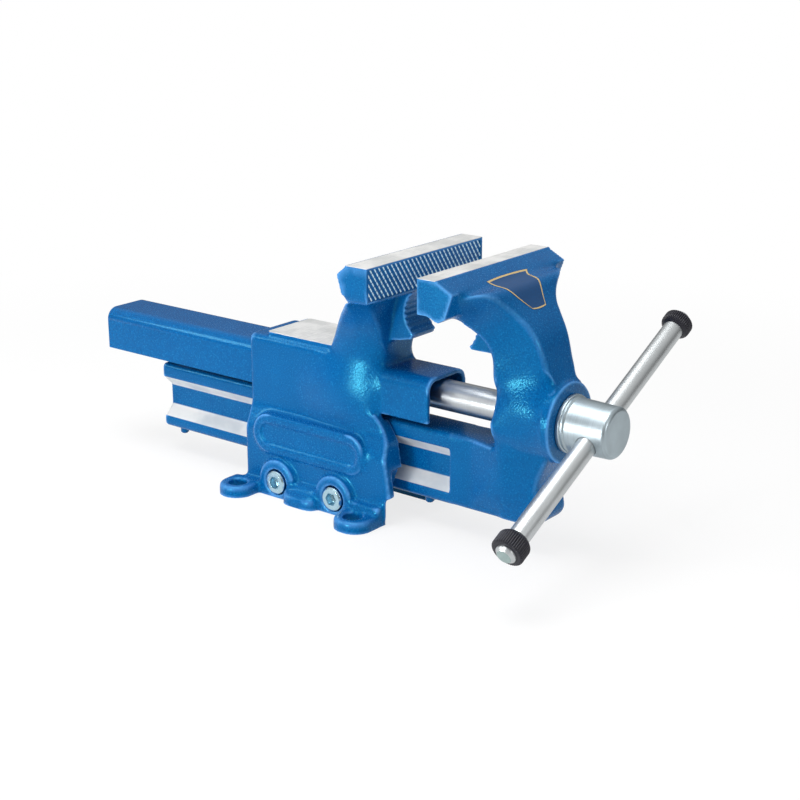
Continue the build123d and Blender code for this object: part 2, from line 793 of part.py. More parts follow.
# Bush in the hub of the movable jaw
with BuildPart() as spindle_bush:
    bush_rear_x = neck_rear_x + collar_recess
    extrude(round_section(bush_rear_x, bush_d / 2), amount=boss_face_x - bush_rear_x)
    extrude(round_section(boss_face_x, bush_flange_d / 2), amount=-bush_flange)
    extrude(
        round_section(boss_face_x, spindle_d / 2 + running_clearance),
        amount=-beyond,
        mode=Mode.SUBTRACT,
    )

# Thrust washer between the spindle head and the hub
with BuildPart() as thrust_washer:
    extrude(round_section(washer_x, washer_d / 2), amount=washer_thickness)
    chamfer(thrust_washer.edges().filter_by(GeomType.CIRCLE), length=washer_edge)
    extrude(
        round_section(washer_x, spindle_d / 2 + thread_clearance),
        amount=washer_thickness,
        mode=Mode.SUBTRACT,
    )

# Spindle with the stub that carries its head
with BuildPart() as spindle:
    extrude(round_section(spindle_rear_x, spindle_d / 2), amount=head_x - spindle_rear_x)
    chamfer(spindle.edges().group_by(Axis.X)[0], length=spindle_chamfer)
    extrude(round_section(head_x, head_stub_d / 2), amount=stub_end_x - head_x)
    with BuildSketch(Plane.XY):
        with Locations((collar_pin_x, 0)):
            Circle(cross_pin_d / 2 + thread_clearance)
    extrude(amount=beyond, both=True, mode=Mode.SUBTRACT)
    with BuildSketch(pin_plane.offset(head_pin_foot)):
        Circle(cross_pin_d / 2 + thread_clearance)
    extrude(amount=head_stub_d, mode=Mode.SUBTRACT)

# Spindle head with the tilted hole of the handle
with BuildPart() as spindle_head:
    with BuildSketch(Plane.XZ):
        front_x = head_x + head_length
        with BuildLine():
            Polyline(
                (head_x, spindle_height),
                (head_x, spindle_height + head_d / 2),
                (head_x + head_rim, spindle_height + head_d / 2),
                (head_x + 2 * head_rim, spindle_height + head_waist_d / 2),
                (front_x, spindle_height + head_front_d / 2),
                (front_x, spindle_height),
                close=True,
            )
        make_face()
    revolve(axis=spindle_line)
    fillet(spindle_head.edges().group_by(Axis.X)[-1], radius=head_edge)
    extrude(
        round_section(head_x, head_stub_d / 2 + thread_clearance),
        amount=stub_end_x - head_x,
        mode=Mode.SUBTRACT,
    )
    with BuildSketch(Plane(origin=handle_middle, z_dir=handle_axis)):
        Circle(handle_hole_d / 2)
    extrude(amount=head_d, both=True, mode=Mode.SUBTRACT)
    with BuildSketch(pin_plane):
        Circle(cross_pin_d / 2 + thread_clearance)
    extrude(amount=head_d, mode=Mode.SUBTRACT)

# Pin between the spindle and its head
with BuildPart() as head_pin:
    with BuildSketch(pin_plane.offset(head_pin_foot)):
        Circle(cross_pin_d / 2)
    extrude(amount=head_front_d / 2 - head_pin_foot)

# Collar that draws the jaw back when the spindle is turned to open it
with BuildPart() as spindle_collar:
    extrude(round_section(collar_x, collar_d / 2), amount=collar_length)
    chamfer(spindle_collar.edges().filter_by(GeomType.CIRCLE), length=collar_edge)
    extrude(
        round_section(collar_x, spindle_d / 2 + thread_clearance),
        amount=collar_length,
        mode=Mode.SUBTRACT,
    )
    with BuildSketch(Plane.XY):
        with Locations((collar_pin_x, 0)):
            Circle(cross_pin_d / 2 + thread_clearance)
    extrude(amount=beyond, mode=Mode.SUBTRACT)

# Pin through the collar and the spindle
with BuildPart() as collar_pin:
    with BuildSketch(Plane.XY.offset(spindle_height)):
        with Locations((collar_pin_x, 0)):
            Circle(cross_pin_d / 2)
    extrude(amount=collar_d / 2 - collar_edge, both=True)

# Handle bar, turned down where the rings sit
handle_end = handle_length / 2
ring_end = handle_end - ring_inset
ring_start = ring_end - ring_length
ring_seat = handle_d / 2 - ring_groove
with BuildPart() as handle_bar:
    with BuildSketch(handle_plane):
        with BuildLine():
            Polyline(
                (0, 0),
                (0, handle_d / 2),
                (ring_start, handle_d / 2),
                (ring_start, ring_seat),
                (ring_end, ring_seat),
                (ring_end, handle_d / 2),
                (handle_end - handle_chamfer, handle_d / 2),
                (handle_end, handle_d / 2 - handle_chamfer),
                (handle_end, 0),
                close=True,
            )
        make_face()
        mirror(about=Plane.YZ)
    revolve(axis=handle_line)

# Rubber rings on both ends of the handle, rounded towards the middle
with BuildPart() as handle_ring_far:
    with BuildSketch(handle_plane):
        ring_radius = ring_d / 2
        with BuildLine():
            Polyline(
                (ring_start, ring_seat),
                (ring_start, ring_radius - ring_round),
                (ring_start + ring_round / 2, ring_radius - ring_round / 4),
                (ring_start + ring_round, ring_radius),
                (ring_end - ring_edge, ring_radius),
                (ring_end, ring_radius - ring_edge),
                (ring_end, ring_seat),
                close=True,
            )
        make_face()
    revolve(axis=handle_line)

with BuildPart() as handle_ring_near:
    mirror(handle_ring_far.part, about=Plane(origin=handle_middle, z_dir=handle_axis))

pieces = {
    "fixed_body": fixed_body,
    "spindle_cover": spindle_cover,
    "cover_screws": cover_screws,
    "spindle_nut": spindle_nut,
    "nut_screw": nut_screw,
    "clamp_screws": clamp_screws,
    "movable_jaw": movable_jaw,
    "stop_pins": stop_pins,
    "spindle_bush": spindle_bush,
    "thrust_washer": thrust_washer,
    "spindle": spindle,
    "spindle_head": spindle_head,
    "head_pin": head_pin,
    "spindle_collar": spindle_collar,
    "collar_pin": collar_pin,
    "handle_bar": handle_bar,
    "handle_ring_far": handle_ring_far,
    "handle_ring_near": handle_ring_near,
}
for name, piece in pieces.items():
    piece.part.label = name
    export_step(piece.part, f"parts/{name}.step")
    size = piece.part.bounding_box().size
    print(name, len(piece.part.solids()), round(piece.part.volume), [round(v, 1) for v in size])
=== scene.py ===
"""Looks of a forged bench vise: hammered blue castings with ground lands, a bright spindle and a T-handle.

Lengths are in metres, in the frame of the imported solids: X runs along the slide towards the handle,
-Y is the side with the clamp screw heads, and Z is up.
"""

import json
from contextlib import contextmanager
from math import atan2, pi, radians

import bmesh
import bpy
import numpy as np
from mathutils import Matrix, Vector


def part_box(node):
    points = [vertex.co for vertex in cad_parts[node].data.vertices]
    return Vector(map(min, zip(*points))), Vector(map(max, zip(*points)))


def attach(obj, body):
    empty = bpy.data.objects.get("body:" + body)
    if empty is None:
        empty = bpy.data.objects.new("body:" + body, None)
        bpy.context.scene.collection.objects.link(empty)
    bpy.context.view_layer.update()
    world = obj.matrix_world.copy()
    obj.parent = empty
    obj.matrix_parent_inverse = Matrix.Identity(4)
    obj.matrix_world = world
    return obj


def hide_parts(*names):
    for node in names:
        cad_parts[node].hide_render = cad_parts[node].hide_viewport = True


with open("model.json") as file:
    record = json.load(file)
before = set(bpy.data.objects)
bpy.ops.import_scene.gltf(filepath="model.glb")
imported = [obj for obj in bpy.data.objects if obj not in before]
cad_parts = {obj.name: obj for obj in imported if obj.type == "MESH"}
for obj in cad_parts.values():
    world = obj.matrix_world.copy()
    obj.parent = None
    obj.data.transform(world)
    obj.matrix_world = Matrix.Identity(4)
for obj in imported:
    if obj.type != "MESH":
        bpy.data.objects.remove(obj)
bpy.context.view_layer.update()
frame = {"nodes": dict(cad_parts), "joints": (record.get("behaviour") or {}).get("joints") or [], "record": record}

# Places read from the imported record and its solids
MM = 0.001
mounts = {mount["name"]: mount for mount in frame["record"]["mounts"]}
joints = {joint["name"]: joint for joint in frame["joints"]}
fixed_face_x = mounts["fixed_jaw_face"]["pos_m"][0]
moving_face_x = mounts["moving_jaw_face"]["pos_m"][0]
face_mid_z = mounts["fixed_jaw_face"]["pos_m"][2]
anvil_x = mounts["anvil_face"]["pos_m"][0]
anvil_z = mounts["anvil_face"]["pos_m"][2]
jaw_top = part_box("fixed_body")[1].z
jaw_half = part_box("movable_jaw")[1].y
face_half_height = jaw_top - face_mid_z
rail_rear_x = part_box("movable_jaw")[0].x
rail_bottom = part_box("movable_jaw")[0].z
spindle_z = joints["spindle_turn"]["pos_m"][2]
spindle_rear_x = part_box("spindle")[0].x
handle_way = Vector(joints["handle_slide"]["axis"])
handle_x = (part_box("handle_bar")[0].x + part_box("handle_bar")[1].x) / 2
handle_middle = Vector((handle_x, 0, spindle_z))

# Ground surfaces of the castings
LAND_FIXED = 16.0 * MM
LAND_MOVING = 13.0 * MM
ANVIL_HALF_X = 30.5 * MM
ANVIL_HALF_Y = 21.5 * MM
RAIL_HEIGHT = 48.0 * MM
STRIP_DROP = 1.0 * MM
STRIP_HALF_Z = 14.8 * MM
STRIP_MIDDLE_Y = 10.0 * MM
STRIP_HALF_Y = 3.6 * MM
STRIP_END_X = 105.6 * MM
LAND_EDGE = 0.25 * MM
ANVIL_EDGE = 0.3 * MM

# Serration of the jaw faces: grooves that cross in diamonds, one family deep and one shallow
SERRATION_DEPTH = 0.9 * MM
SERRATION_PITCH = 4.1 * MM
SERRATION_SLOPE = 1.38
SERRATION_STEP = 0.3 * MM
SERRATION_MARGIN = 0.6 * MM
POCKET_MARGIN = 1.8 * MM
POCKET_DEPTH = 1.8 * SERRATION_DEPTH

# Spindle with its thread, and the washer
THREAD_LEAD = 5.0 * MM
THREAD_DEPTH = 2.2 * MM
THREAD_END_X = 58.0 * MM
THREAD_FADE = 2.0 * MM
THREAD_CREST = 0.38
THREAD_FLANK = 4.2
THREAD_STEP = 0.45 * MM
SPINDLE_RADIUS = 9.97 * MM
SPINDLE_CHAMFER = 2.0 * MM
WASHER_ROUND = 0.8 * MM

# Handle bar with its rubber rings
HANDLE_RADIUS = 6.5 * MM
HANDLE_CHAMFER = 1.9 * MM
RING_RIBS = 44
RING_RIB_DEPTH = 0.55 * MM
RING_CHAMFER = 2.6 * MM
RING_EDGE = 0.8 * MM
RING_GRIP = 0.4 * MM

# Label on the outer face of the arm
LABEL_MIDDLE_Z = 163.0 * MM
LABEL_HALF_Z = 9.0 * MM
LABEL_MIDDLE_Y = -1.5 * MM
LABEL_LEAN = -3.0 * MM
LABEL_HALF_Y = 13.7 * MM
LABEL_FLARE = 6.6 * MM
LABEL_CORNER = 8.0 * MM
LABEL_LINE = (0.91, 0.985)

# Skin of the castings
SKIN_VOXEL = 0.85 * MM
SKIN_FACES = 180000
SKIN_PASSES = 16
SHARE_PASSES = 4
GROUND_REACH = 0.8 * SKIN_VOXEL
BLEND_SLOPE = 1.6
WELD = 0.001 * MM

# Camera, solved from the photograph, and the point that the lamps look at
CAMERA_PLACE = (0.6493, -0.7606, 0.3850)
CAMERA_TARGET = (0.0556, 0.0, 0.0759)
CAMERA_LENS = 69.9
CAMERA_SENSOR = 36.0
LAMP_TARGET = (0.05, 0.0, 0.09)

# Colours, alone or as a darker and a lighter tone
WHITE = (1.0, 1.0, 1.0, 1.0)
BLUE = (0.0001, 0.064, 0.236, 1.0)
BLUE_LIGHT = (0.0004, 0.120, 0.360, 1.0)
# Painted highlight: paler blue laid along the convex edges of the castings, in place of the gloss lines of the
# lamps
BLUE_EDGE_HIGHLIGHT = (0.075, 0.260, 0.600, 1.0)
BLUE_GLOSS = (0.12, 0.84, 1.0, 1.0)
GROUND_STEEL = ((0.60, 0.61, 0.605, 1.0), (0.82, 0.82, 0.81, 1.0))
STRIP_STEEL = ((0.50, 0.54, 0.58, 1.0), (0.72, 0.73, 0.73, 1.0))
CREST_STEEL = (0.72, 0.93, 1.0, 1.0)
SPINDLE_STEEL = (0.58, 0.61, 0.63, 1.0)
BAR_STEEL = (0.66, 0.69, 0.70, 1.0)
HEAD_ZINC = (0.46, 0.54, 0.58, 1.0)
TIP_STEEL = ((0.30, 0.42, 0.41, 1.0), (0.52, 0.62, 0.61, 1.0))
SCREW_ZINC = ((0.42, 0.66, 0.78, 1.0), (0.62, 0.84, 0.95, 1.0))
PIN_STEEL = ((0.42, 0.42, 0.44, 1.0), (0.62, 0.62, 0.63, 1.0))
BRONZE = ((0.48, 0.32, 0.13, 1.0), (0.66, 0.47, 0.22, 1.0))
RUBBER = ((0.003, 0.003, 0.007, 1.0), (0.016, 0.016, 0.028, 1.0))
LABEL_BLUE = ((0.001, 0.045, 0.150, 1.0), (0.002, 0.068, 0.210, 1.0))
LABEL_GOLD = ((0.52, 0.36, 0.13, 1.0), (0.66, 0.50, 0.24, 1.0))


# Shader helpers

class Nodes:
    """An emptied node tree, with short calls that add and link its nodes."""

    def __init__(self, tree):
        self.tree = tree
        tree.nodes.clear()

    def add(self, kind, options=None, **inputs):
        """One node; options are its properties and inputs its sockets, given as values or as outputs."""
        node = self.tree.nodes.new(kind)
        for key, value in (options or {}).items():
            setattr(node, key, value)
        for key, value in inputs.items():
            self.put(node, key.replace("_", " "), value)
        return node

    def put(self, node, key, value):
        """Sets a socket, named or counted, to a value, or links an output to it."""
        socket = node.inputs[key]
        if isinstance(value, bpy.types.NodeSocket):
            self.tree.links.new(value, socket)
        else:
            socket.default_value = value

    def joined(self, node, *values):
        """The first output of a node whose sockets take the values in their order."""
        for index, value in enumerate(values):
            self.put(node, index, value)
        return node.outputs[0]

    def math(self, operation, *values):
        """Result of a Math node."""
        return self.joined(self.add("ShaderNodeMath", {"operation": operation}), *values)

    def vector(self, operation, *values):
        """Result of a Vector Math node."""
        return self.joined(self.add("ShaderNodeVectorMath", {"operation": operation}), *values)

    def weighted(self, first, first_weight, second, second_weight):
        """Sum of two numbers, each times its weight."""
        return self.math(
            "ADD", self.math("MULTIPLY", first, first_weight), self.math("MULTIPLY", second, second_weight)
        )

    def parts(self, place):
        """The x, y and z of a place."""
        node = self.add("ShaderNodeSeparateXYZ")
        self.put(node, 0, place)
        return node.outputs

    def blend(self, factor, first, second):
        """Colour mix of two colours by a factor."""
        node = self.add("ShaderNodeMix", {"data_type": "RGBA"})
        for socket, value in ((0, factor), (6, first), (7, second)):
            self.put(node, socket, value)
        return node.outputs[2]

    def between(self, factor, first, second):
        """Number that goes from first to second as factor goes from 0 to 1."""
        node = self.add("ShaderNodeMix", {"data_type": "FLOAT"})
        for socket, value in ((0, factor), (2, first), (3, second)):
            self.put(node, socket, value)
        return node.outputs[0]

    def choose(self, factor, first, second):
        """Mix of two shaders by a factor."""
        return self.joined(self.add("ShaderNodeMixShader"), factor, first, second)

    def ramp(self, value, low, high):
        """Smooth step of value between low and high."""
        node = self.add("ShaderNodeMapRange", {"interpolation_type": "SMOOTHSTEP"})
        for key, number in (("Value", value), ("From Min", low), ("From Max", high)):
            self.put(node, key, number)
        return node.outputs[0]


class Finish(Nodes):
    """A material with one Principled shader, that reads the piece's own coordinates."""

    def __init__(self, name, **settings):
        self.material = bpy.data.materials.new(name)
        self.material.use_nodes = True
        super().__init__(self.material.node_tree)
        self.shader = self.add("ShaderNodeBsdfPrincipled", **settings)
        self.add("ShaderNodeOutputMaterial", Surface=self.shader.outputs[0])
        self.place = self.add("ShaderNodeTexCoord").outputs["Object"]

    def noise(self, scale, detail=2.0, roughness=0.5, place=None):
        """Noise between 0 and 1 on the piece's coordinates, or on a place made from them."""
        node = self.add("ShaderNodeTexNoise", Scale=scale, Detail=detail, Roughness=roughness)
        self.put(node, "Vector", self.place if place is None else place)
        return node.outputs["Fac"]

    def stretched(self, scales, turn=(0.0, 0.0, 0.0)):
        """The piece's coordinates, scaled by axis and turned."""
        return self.add("ShaderNodeMapping", Vector=self.place, Rotation=turn, Scale=scales).outputs[0]

    def inside(self, low, high, edge=0.12 * MM):
        """1 inside the box from low to high and 0 outside, by the largest of the three distances."""
        centre = (Vector(low) + Vector(high)) / 2
        half = (Vector(high) - Vector(low)) / 2
        apart = self.vector("ABSOLUTE", self.vector("SUBTRACT", self.place, centre))
        x, y, z = self.parts(self.vector("SUBTRACT", apart, half))
        widest = self.math("MAXIMUM", self.math("MAXIMUM", x, y), z)
        return self.ramp(widest, edge, -edge)

    def within(self, boxes):
        """1 inside any of the boxes and 0 outside."""
        mask = 0.0
        for box in boxes:
            mask = self.math("MAXIMUM", mask, self.inside(*box))
        return mask

    def bump(self, height, distance, strength):
        """Normal from a height between 0 and 1 that stands distance high."""
        return self.add("ShaderNodeBump", Strength=strength, Distance=distance, Height=height).outputs[0]

    def finish(self, **links):
        """Sets or links the shader's named sockets and returns the material."""
        for key, value in links.items():
            self.put(self.shader, key.replace("_", " "), value)
        return self.material


# Finishes

def ground_steel(finish, bare, dull):
    """Ground steel inside the boxes of bare, and greyer inside those of dull: its mask, colour, roughness
    and height."""
    mask = finish.within(bare)
    grey = finish.within(dull)
    along_y = finish.stretched((2600.0, 120.0, 2600.0))
    streaks = finish.noise(scale=1.0, detail=4.0, roughness=0.7, place=along_y)
    clouds = finish.noise(scale=40.0, detail=3.0, roughness=0.6)
    tone = finish.between(0.55, streaks, clouds)
    pale = finish.blend(finish.ramp(tone, 0.41, 0.59), *GROUND_STEEL)
    colour = finish.blend(grey, pale, finish.blend(finish.ramp(clouds, 0.3, 0.7), *STRIP_STEEL))
    roughness = finish.between(streaks, 0.34, 0.50)
    return finish.math("MAXIMUM", mask, grey), colour, roughness, finish.math("MULTIPLY", streaks, 0.10)


def hammered_paint(name, bare=(), dull=()):
    """Glossy blue paint with small hammered cells, and a painted highlight that makes it paler along sharp convex
    edges; the boxes of bare and dull are left unpainted."""
    finish = Finish(name, Specular_Tint=BLUE_GLOSS)
    cells = finish.add("ShaderNodeTexVoronoi", {"feature": "SMOOTH_F1"}, Scale=850.0, Smoothness=0.6)
    finish.put(cells, "Vector", finish.place)
    fine = finish.noise(scale=1000.0, detail=1.5, roughness=0.6)
    broad = finish.noise(scale=45.0, detail=3.0)
    height = finish.weighted(cells.outputs["Distance"], 0.9, fine, 0.6)
    tone = finish.weighted(fine, 0.8, broad, 0.2)
    colour = finish.blend(finish.ramp(tone, 0.26, 0.74), BLUE, BLUE_LIGHT)
    # Painted highlight: the edge attribute lightens the paint along convex edges
    edge = finish.add("ShaderNodeAttribute", {"attribute_name": "edge"}).outputs["Fac"]
    colour = finish.blend(edge, colour, BLUE_EDGE_HIGHLIGHT)
    roughness = finish.between(fine, 0.21, 0.31)
    metal = 0.0
    if bare:
        mask, steel, steel_roughness, steel_height = ground_steel(finish, bare, dull)
        colour = finish.blend(mask, colour, steel)
        roughness = finish.between(mask, roughness, steel_roughness)
        height = finish.between(mask, height, steel_height)
        metal = finish.math("MULTIPLY", mask, 0.2)
        finish.put(finish.shader, "Specular Tint", finish.blend(mask, BLUE_GLOSS, WHITE))
    normal = finish.bump(height, 0.15 * MM, 0.65)
    return finish.finish(Base_Color=colour, Metallic=metal, Roughness=roughness, Normal=normal)


def turned_steel(name, tint, rough, contrast=0.08, fineness=2200.0, turn=(0.0, 0.0, 0.0)):
    """Bright steel with fine lines across X, and patches of a lighter and a darker tone; turn turns the
    noise that gives the lines, and not their direction."""
    finish = Finish(name)
    lines = finish.noise(
        scale=1.0, detail=2.0, roughness=0.6, place=finish.stretched((fineness, 30.0, 30.0), turn)
    )
    patches = finish.noise(scale=70.0)
    dark = tuple((1 - contrast) * part for part in tint[:3]) + (1.0,)
    light = tuple(min(1.0, (1 + contrast) * part) for part in tint[:3]) + (1.0,)
    colour = finish.blend(finish.ramp(finish.between(0.5, lines, patches), 0.25, 0.75), dark, light)
    roughness = finish.between(finish.between(0.4, lines, patches), rough - 0.04, rough + 0.06)
    normal = finish.bump(lines, 0.01 * MM, 0.1)
    return finish.finish(Base_Color=colour, Metallic=1.0, Roughness=roughness, Normal=normal)


def serrated_steel(name, face_x):
    """Bare crests and painted grooves, told apart by their distance from the jaw face."""
    finish = Finish(name, Specular_IOR_Level=0.22)
    sunk = finish.math("ABSOLUTE", finish.math("SUBTRACT", finish.parts(finish.place)[0], face_x))
    wear = finish.math("MULTIPLY", finish.noise(scale=700.0), 0.25 * SERRATION_DEPTH)
    crest = finish.ramp(finish.math("ADD", sunk, wear), 0.62 * SERRATION_DEPTH, 0.42 * SERRATION_DEPTH)
    return finish.finish(
        Base_Color=finish.blend(crest, BLUE_LIGHT, CREST_STEEL),
        Metallic=finish.math("MULTIPLY", crest, 0.1),
        Roughness=finish.between(crest, 0.35, 0.4),
    )


def ribbed_rubber(name):
    """Black rubber with a dusty sheen."""
    finish = Finish(name)
    dust = finish.noise(scale=420.0, detail=4.0, roughness=0.65)
    return finish.finish(
        Base_Color=finish.blend(dust, *RUBBER),
        Roughness=finish.between(dust, 0.28, 0.50),
        Normal=finish.bump(dust, 0.05 * MM, 0.4),
    )


def plain_metal(name, tones, rough, metal=1.0, scale=300.0, detail=3.0, coarse=0.5):
    """Metal with faint patches between a darker and a lighter tone, a little rougher where it is lighter."""
    finish = Finish(name)
    patches = finish.noise(scale=scale, detail=detail, roughness=coarse)
    return finish.finish(
        Base_Color=finish.blend(patches, *tones),
        Metallic=metal,
        Roughness=finish.between(patches, rough, rough + 0.15),
    )


def label_print(name, tones):
    """Flat print with a fine grain between two tones."""
    finish = Finish(name, Roughness=0.35)
    return finish.finish(Base_Color=finish.blend(finish.noise(scale=900.0), *tones))


# Mesh helpers

def link(mesh, name, material=None):
    """Object for a mesh, in the scene, with this material where one is given."""
    piece = bpy.data.objects.new(name, mesh)
    bpy.context.scene.collection.objects.link(piece)
    if material is not None:
        mesh.materials.clear()
        mesh.materials.append(material)
    return piece


@contextmanager
def opened(mesh):
    """The mesh for bmesh work, written back at the end."""
    work = bmesh.new()
    work.from_mesh(mesh)
    yield work
    work.to_mesh(mesh)
    work.free()


def surface(name, points, wrap=False):
    """Mesh of a grid of points[u, v]: each face joins (u, v), (u+1, v), (u+1, v+1), (u, v+1), and with wrap
    the last v joins the first."""
    rows, columns = points.shape[:2]
    index = np.arange(rows * columns).reshape(rows, columns)
    if wrap:
        index = np.hstack([index, index[:, :1]])
    corners = [index[:-1, :-1], index[1:, :-1], index[1:, 1:], index[:-1, 1:]]
    faces = np.stack(corners, axis=-1).reshape(-1, 4)
    mesh = bpy.data.meshes.new(name)
    mesh.vertices.add(rows * columns)
    mesh.vertices.foreach_set("co", points.astype(np.float32).ravel())
    mesh.loops.add(faces.size)
    mesh.loops.foreach_set("vertex_index", faces.ravel().astype(np.int32))
    mesh.polygons.add(len(faces))
    mesh.polygons.foreach_set("loop_start", np.arange(0, faces.size, 4, dtype=np.int32))
    mesh.update(calc_edges=True)
    return mesh


def shade_smooth(mesh, sharp):
    """Smooth shading, apart from edges of more than sharp degrees."""
    mesh.polygons.foreach_set("use_smooth", np.ones(len(mesh.polygons), bool))
    mesh.set_sharp_from_angle(angle=radians(sharp))


def cleaned(mesh, sharp, merge=0.002 * MM):
    """The mesh without doubles and collapsed faces, turned outwards and smooth up to sharp degrees."""
    with opened(mesh) as work:
        bmesh.ops.remove_doubles(work, verts=work.verts, dist=merge)
        bmesh.ops.dissolve_degenerate(work, edges=work.edges, dist=merge)
        bmesh.ops.recalc_face_normals(work, faces=work.faces)
    shade_smooth(mesh, sharp)
    return mesh


def closed(mesh):
    """Closes the open rim of a sheet with one flat face."""
    with opened(mesh) as work:
        bmesh.ops.holes_fill(work, edges=[edge for edge in work.edges if edge.is_boundary], sides=0)
    return mesh


def coordinates(mesh):
    """The mesh's vertices as an array."""
    values = np.empty(len(mesh.vertices) * 3, np.float32)
    mesh.vertices.foreach_get("co", values)
    return values.reshape(-1, 3).astype(float)


def put_points(mesh, points):
    """Moves the mesh's vertices to points."""
    mesh.vertices.foreach_set("co", points.astype(np.float32).ravel())
    mesh.update()


def edge_ends(mesh):
    """The two vertices of each edge as an array."""
    edges = np.empty(len(mesh.edges) * 2, np.int32)
    mesh.edges.foreach_get("vertices", edges)
    return edges.reshape(-1, 2)


def merged_copy(node, name):
    """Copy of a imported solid's mesh with its loose triangles joined."""
    mesh = frame["nodes"][node].data.copy()
    mesh.name = name
    mesh.materials.clear()
    with opened(mesh) as work:
        bmesh.ops.remove_doubles(work, verts=work.verts, dist=WELD)
    return mesh


def evaluated(piece):
    """The piece's mesh with its modifiers applied."""
    depsgraph = bpy.context.evaluated_depsgraph_get()
    mesh = bpy.data.meshes.new_from_object(piece.evaluated_get(depsgraph))
    piece.modifiers.clear()
    old = piece.data
    piece.data = mesh
    bpy.data.meshes.remove(old)
    return mesh


def rider(mesh, name, body, material, slot, *nodes):
    """A finished piece on its body, in place of the nodes named."""
    piece = link(mesh, name, material)
    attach(piece, body)
    if nodes:
        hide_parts(*nodes)


def dressed_node(node, material):
    """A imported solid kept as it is, with welded edges and its own material."""
    piece = frame["nodes"][node]
    piece.data.materials.clear()
    piece.data.materials.append(material)
    piece.modifiers.new("Weld", "WELD").merge_threshold = WELD


def edged_copy(node, name, body, material, bevel, sharp=30):
    """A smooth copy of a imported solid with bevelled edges, in place of the node."""
    piece = link(cleaned(merged_copy(node, name), sharp), name, material)
    soft = piece.modifiers.new("Edges", "BEVEL")
    soft.width = bevel
    soft.segments = 3
    soft.limit_method = "ANGLE"
    soft.angle_limit = radians(sharp)
    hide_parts(node)
    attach(piece, body)


def rounded(profile, radius, steps=4):
    """Profile of (along, radius) points whose inner corners are rounded by a parabola from radius before
    to radius after each corner, never past half of a side."""
    points = [np.array(point, float) for point in profile]
    out = [points[0]]
    for before, corner, after in zip(points, points[1:], points[2:]):
        back, forth = before - corner, after - corner
        cut = min(radius, np.linalg.norm(back) / 2, np.linalg.norm(forth) / 2)
        start = corner + back / np.linalg.norm(back) * cut
        end = corner + forth / np.linalg.norm(forth) * cut
        share = np.linspace(0, 1, steps + 1)[:, None]
        out.extend((1 - share) ** 2 * start + 2 * share * (1 - share) * corner + share**2 * end)
    out.append(points[-1])
    return np.array(out)


def looped(profile):
    """Profile that ends where it starts, for a ring."""
    return np.vstack([profile, profile[:1]])


def turned(name, origin, way, profile, segments, swell=None):
    """Surface of revolution about the line through origin along way: a point at distance s along it and
    angle t round it lies swell(s, t, r) from the line, where r is the profile's radius at s."""
    way = Vector(way).normalized()
    side = way.cross(Vector((0, 0, 1))).normalized()
    up = side.cross(way)
    angle = np.linspace(0, 2 * pi, segments, endpoint=False)
    along, angle = np.meshgrid(profile[:, 0], angle, indexing="ij")
    radius = np.repeat(profile[:, 1:2], segments, axis=1)
    if swell is not None:
        radius = swell(along, angle, radius)
    place = np.array(origin, float) + along[..., None] * np.array(way)
    place += (radius * np.cos(angle))[..., None] * np.array(side)
    place += (radius * np.sin(angle))[..., None] * np.array(up)
    return cleaned(surface(name, place, wrap=True), sharp=40)


# Places on a casting, given in mm

EVERYWHERE = (-1000, 1000)


def folded(points):
    """The points with y as the distance from the middle plane."""
    return np.column_stack([points[:, 0], abs(points[:, 1]), points[:, 2]])


def zone(x=EVERYWHERE, y=EVERYWHERE, z=EVERYWHERE):
    """Test for the points whose x, distance from the middle plane and z lie inside these ranges."""
    low, high = np.array([x, y, z]).T * MM
    return lambda points: np.all((folded(points) > low) & (folded(points) < high), axis=1)


def tube(radius, x):
    """Test for the points less than radius from the spindle's axis, with x inside a range."""
    def test(points):
        apart = np.hypot(points[:, 1], points[:, 2] - spindle_z)
        return (apart < radius * MM) & zone(x=x)(points)

    return test


def screw_seat(x, z, radius, near_y):
    """Test for the points less than radius from a screw's axis at (x, z), on the side of y < near_y."""
    def test(points):
        apart = np.hypot(points[:, 0] - x * MM, points[:, 2] - z * MM)
        return (apart < radius * MM) & (points[:, 1] < near_y * MM)

    return test


def freedom(zones):
    """Function that gives how freely each point rounds: fully, or as the last (test, share) that holds."""
    def share(points):
        free = np.ones(len(points))
        for test, value in zones:
            free[test(points)] = value
        return free

    return share


def reaches(points, middle, reach):
    """Distance of each point from middle, on its own side, in reaches along each axis."""
    return np.linalg.norm((folded(points) - np.array(middle) * MM) / (np.array(reach) * MM), axis=1)


# Castings

def neighbours(edges, size):
    """Function that gives, for a value per vertex, the mean of the values at the other ends of its edges."""
    first, second = edges.T
    count = np.bincount(first, minlength=size) + np.bincount(second, minlength=size)

    def mean(values):
        total = np.empty_like(values)
        for axis in range(values.shape[1]):
            total[:, axis] = np.bincount(first, values[second, axis], size)
            total[:, axis] += np.bincount(second, values[first, axis], size)
        return total / np.maximum(count, 1)[:, None]

    return mean


def blend_near(points, edges, near, passes):
    """Moves the points, passes times, half way to the mean of their neighbours, times near."""
    used, local = np.unique(edges[np.any(near[edges] > 0, axis=1)], return_inverse=True)
    part = points[used]
    pull = 0.5 * near[used, None]
    mean = neighbours(local.reshape(-1, 2), len(used))
    for _ in range(passes):
        part += pull * (mean(part) - part)
    points[used] = part


